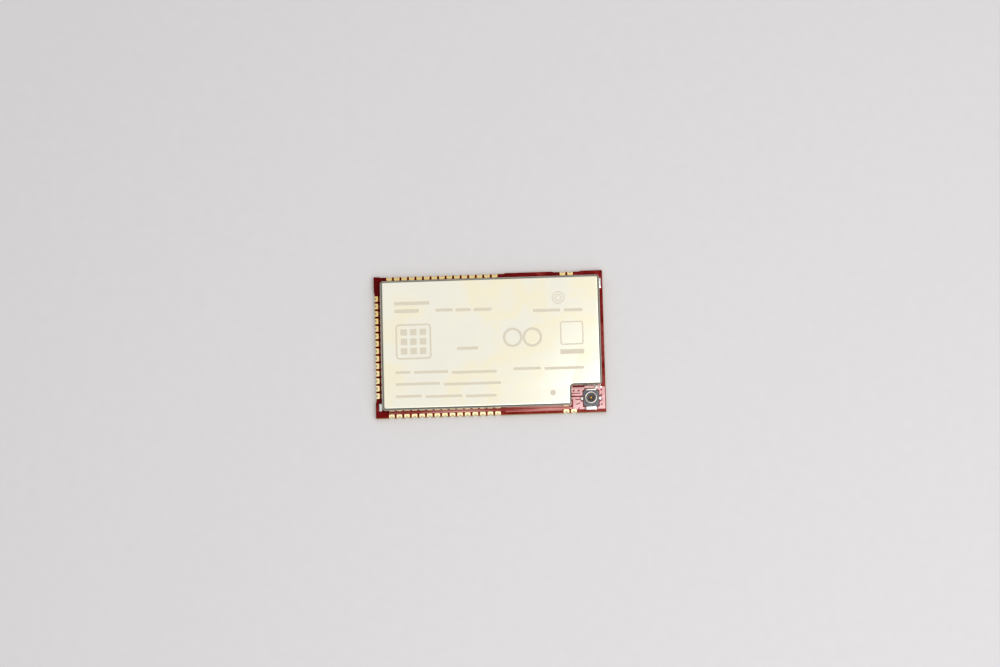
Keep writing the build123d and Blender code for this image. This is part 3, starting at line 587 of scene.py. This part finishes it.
# Antenna receptacle: a turned ring with a rolled rim and a snap groove, a moulded base with a well in its middle that
# is painted darker as shade, a domed pin, and flat feet. The groove is given by four heights, and solder reaches out
# to the north, the south and each side
coaxSet = {"ring": 1.0, "wall": 0.2, "rim": 1.25, "rimRound": 0.1, "rimSteps": 6, "steps": 64,
           "groove": (0.52, 0.56, 0.74, 0.78), "grooveDepth": 0.05,
           "base": 1.3, "baseHeight": 0.4, "baseCorner": 0.34, "baseSteps": (3, 8), "baseEdge": 0.06,
           "edgeSteps": 3, "well": 0.57, "wellDepth": 0.2, "wellLip": 0.03, "wellFillet": (0.06, 0.05),
           "pin": 0.25, "pinHeight": 1.0, "pinSteps": 32, "dome": 0.2, "domeFlat": 0.03, "domeSteps": 3,
           "sheet": 0.12, "footCorner": 0.05, "footEdge": 0.03, "groundFoot": 0.95, "groundReach": 1.55,
           "sideFoot": 0.25, "sideReach": 1.65, "solder": 0.28, "solderLean": 0.15, "groundSolder": 1.05,
           "sideSolder": 0.35, "solderReach": (0.36, 0.68, 0.46)}


# Where the receptacle's axis stands, and the height of its feet
def findAxis():
    low, high = boxOf("coax_shell")
    return boxOf("coax_body")[0][0] + coaxSet["base"], (low[1] + high[1]) / 2, low[2]


# A flat foot of the stamped sheet, its sides measured from the axis
def sheetFoot(x0, x1, y0, y1):
    x, y, z = coaxAxis
    return slab(x + x0, x + x1, y + y0, y + y1, z, z + coaxSet["sheet"], coaxSet["footCorner"],
                coaxSet["footEdge"])


def makeRing():
    x, y, z = coaxAxis
    outer, inner, roll = coaxSet["ring"], coaxSet["ring"] - coaxSet["wall"], coaxSet["rimRound"]
    rim, groove, deep = z + coaxSet["rim"], coaxSet["groove"], coaxSet["ring"] - coaxSet["grooveDepth"]
    c, s = quarter(coaxSet["rimSteps"])
    ring = [(outer, z), (outer, z + groove[0]), (deep, z + groove[1]), (deep, z + groove[2]), (outer, z + groove[3])]
    ring += np.stack([outer - roll + roll * c, rim - roll + roll * s], -1).tolist()
    ring += np.stack([inner + roll - roll * s, rim - roll + roll * c], -1)[1:].tolist() + [(inner, z)]
    foot, reach, side, sideReach = (coaxSet[key] for key in ("groundFoot", "groundReach", "sideFoot", "sideReach"))
    feet = [sheetFoot(-foot, foot, inner, reach), sheetFoot(-foot, foot, -reach, -inner),
            sheetFoot(inner, sideReach, -side, side)]
    makePiece("receptacle_ring", [turnedForm(x, y, ring, coaxSet["steps"], closed=True)] + feet, "silver",
              ["coax_shell"])


def makeBase():
    x, y, z = coaxAxis
    outer, inner, top = coaxSet["ring"], coaxSet["ring"] - coaxSet["wall"], z + coaxSet["baseHeight"]
    # The base has a round hole for the ring, so its profile runs up the outline, over the edge and down the hole
    outline, ways = roundedOutline(coaxSet["base"], coaxSet["base"], coaxSet["baseCorner"], *coaxSet["baseSteps"])
    hole = outer * outline / np.linalg.norm(outline, axis=1, keepdims=True)
    c, s = quarter(coaxSet["edgeSteps"])
    edge = coaxSet["baseEdge"]
    rounded = outline - edge * (1 - c)[:, None, None] * ways
    flat = np.concatenate([outline[None], rounded, np.stack([hole, hole])]) + (x, y)
    base = lifted(flat, np.concatenate([[z], top - edge + edge * s, [top, z]]))
    well, lip, pin, bottom = coaxSet["well"], coaxSet["wellLip"], coaxSet["pin"], top - coaxSet["wellDepth"]
    floor = [(inner, z), (inner, top), (well + lip, top), (well, top - lip), (well, bottom), (well, z)]
    floor = turnedForm(x, y, floor, coaxSet["steps"], closed=True)
    makePiece("receptacle_base", [skin(base, closed=True), floor], "polymer", ["coax_body"])
    # The dish in the well is its own piece in the darker polymer: painted shade in the recess round the pin
    outwards, upwards = coaxSet["wellFillet"]
    dish = [(well, z), (well, bottom), (pin + outwards, bottom), (pin, bottom + upwards), (pin, z)]
    dish = turnedForm(x, y, dish, coaxSet["steps"], closed=True)
    makePiece("receptacle_well", [dish], "well")


def makePin():
    x, y, z = coaxAxis
    pin, top, rise = coaxSet["pin"], z + coaxSet["pinHeight"], coaxSet["dome"]
    c, s = quarter(coaxSet["domeSteps"])
    dome = np.stack([pin * c, top - rise + rise * s], -1)[:-1].tolist() + [(coaxSet["domeFlat"], top)]
    dome = turnedForm(x, y, [(pin, z)] + dome, coaxSet["pinSteps"], closed=False)
    foot = sheetFoot(-coaxSet["sideReach"], -pin / 2, -coaxSet["sideFoot"], coaxSet["sideFoot"])
    makePiece("receptacle_pin", [dome, foot], "hardGold", ["coax_contact"])


def makeFootSolder():
    x, y, z = coaxAxis
    bead, lean, wide, narrow = (coaxSet[key] for key in ("solder", "solderLean", "groundSolder", "sideSolder"))
    near, (north, south, out) = coaxSet["base"], coaxSet["solderReach"]
    mounds = [mound(x - wide, x + wide, y + near, y + near + north, z, bead, (0, -lean)),
              mound(x - wide, x + wide, y - near - south, y - near, z, bead, (0, lean)),
              mound(x + near, x + near + out, y - narrow, y + narrow, z, bead, (-lean, 0)),
              mound(x - near - out, x - near, y - narrow, y + narrow, z, bead, (lean, 0))]
    makePiece("receptacle_solder", mounds, "solder", ["coax_solder"])


coaxAxis = findAxis()
makeRing()
makeBase()
makePin()
makeFootSolder()
print("stage: antenna receptacle")

# Solder against the can's rim: west side near the south, east side near the north, and two at the open corner. Each
# has its sides, its height and the way that it leans
rimSolderSet = {"places": [((-18.75, -18.2, -10.93, -9.5), 0.28, (0.4, 0)),
                           ((18.66, 19.02, 8.9, 10.7), 0.2, (-0.4, 0)),
                           ((18.25, 18.65, -7.98, -7.7), 0.12, (0, 0.4)),
                           ((17.45, 17.95, -8.2, -7.72), 0.28, (0, 0.4))]}


def makeRimSolder():
    z = boxOf("coax_shell")[0][2]
    parts = [mound(*sides, z, height, lean) for sides, height, lean in rimSolderSet["places"]]
    makePiece("rim_solder", parts, "solder", ["shield_solder"])


makeRimSolder()
print("stage: rim solder")

# Vias closed with red ink, so that each shows as a small dark red spot: a disc whose middle sinks as a shallow bowl,
# by one minus the square of the way out
viaSet = {"radius": 0.18, "foot": 0.01, "top": 1.04, "dimple": 0.03, "out": (1, 0.75, 0.5, 0.25, 0.04), "steps": 16,
          "places": [(13.9, -8.35, 0), (14.72, -8.35, 0), (18.53, -8.32, 0), (18.53, -9.14, 0), (18.53, -9.96, 0),
                     (18.53, -10.78, 0)]}


def makeViaFill():
    out, radius = np.array(viaSet["out"]), viaSet["radius"]
    bowl = np.stack([radius * out, viaSet["top"] - viaSet["dimple"] * (1 - out ** 2)], -1).tolist()
    fill = turnedForm(0, 0, [(radius, viaSet["foot"])] + bowl, viaSet["steps"], closed=False)
    makePiece("via_fill", [repeated(fill, viaSet["places"])], "viaInk")


makeViaFill()
print("stage: vias")

# Plain pale floor, a world that is white overhead and greyer towards the horizon, and one soft lamp at the near
# right. The sky is white within skyBright degrees of an axis that leans back by skyTilt, and dims to the horizon tone
# by skyDim. The floor and the lamp are in metres
stageSet = {"floorSide": 3.0, "card": ((0.3, "#DCDADC"), (0.7, "#DEDCDE")), "cardRough": 0.9,
            "cardGrain": (2.0, 0.01), "sky": "#FFFEFC", "skyTilt": 9, "skyBright": 20, "skyDim": 55,
            "horizon": 0.28, "world": 1.135, "lampPower": 0.545, "lampSide": 0.3, "lampPlace": (0.12, -0.1, 0.3)}


def makeFloor():
    half = stageSet["floorSide"] / 2
    mesh = bpy.data.meshes.new("floor")
    corners = [(-half, -half, 0), (half, -half, 0), (half, half, 0), (-half, half, 0)]
    mesh.from_pydata(corners, [], [(0, 1, 2, 3)])
    floor = bpy.data.objects.new("floor", mesh)
    bpy.context.scene.collection.objects.link(floor)
    material, tree, shader = newMaterial("matteCard")
    tone = grain(tree, shader, *stageSet["cardGrain"])
    colour = add(tree, "ShaderNodeValToRGB", {"Fac": tone}, stops=stageSet["card"])
    tree.links.new(colour.outputs["Color"], shader.inputs["Base Color"])
    shader.inputs["Roughness"].default_value = stageSet["cardRough"]
    mesh.materials.append(material)


def makeLight():
    world = bpy.data.worlds.new("studio")
    bpy.context.scene.world = world
    world.use_nodes = True
    tree = world.node_tree
    background = next(n for n in tree.nodes if n.type == "BACKGROUND")
    background.inputs["Color"].default_value = linear(stageSet["sky"])
    lean, bright, dim = (math.radians(stageSet[key]) for key in ("skyTilt", "skyBright", "skyDim"))
    way = add(tree, "ShaderNodeTexCoord").outputs["Generated"]
    near = add(tree, "ShaderNodeVectorMath", {0: way, 1: (0, math.sin(lean), math.cos(lean))},
               operation="DOT_PRODUCT")
    dome = add(tree, "ShaderNodeMapRange", {"Value": near.outputs["Value"], "From Min": math.cos(dim),
                                            "From Max": math.cos(bright), "To Min": stageSet["horizon"],
                                            "To Max": 1.0}, interpolation_type="SMOOTHSTEP").outputs["Result"]
    # Mirrors and glass see the plain sky, and the camera sees white
    rays = add(tree, "ShaderNodeLightPath").outputs
    shiny = add(tree, "ShaderNodeMath", {0: rays["Is Glossy Ray"], 1: rays["Is Transmission Ray"]},
                operation="MAXIMUM").outputs[0]
    level = add(tree, "ShaderNodeMapRange", {"Value": shiny, "To Min": stageSet["world"], "To Max": 1.0})
    lit = add(tree, "ShaderNodeMath", {0: dome, 1: level.outputs["Result"]}, operation="MULTIPLY").outputs[0]
    seen = add(tree, "ShaderNodeMath", {0: lit, 1: rays["Is Camera Ray"]}, operation="MAXIMUM").outputs[0]
    tree.links.new(seen, background.inputs["Strength"])
    data = bpy.data.lights.new("softbox", "AREA")
    data.energy = stageSet["lampPower"]
    data.size = stageSet["lampSide"]
    lamp = bpy.data.objects.new("softbox", data)
    bpy.context.scene.collection.objects.link(lamp)
    lamp.location = stageSet["lampPlace"]
    lamp.rotation_euler = Vector(stageSet["lampPlace"]).to_track_quat("Z", "Y").to_euler()


makeFloor()
makeLight()
bpy.context.scene.view_settings.view_transform = "Standard"
print("stage: floor and light")
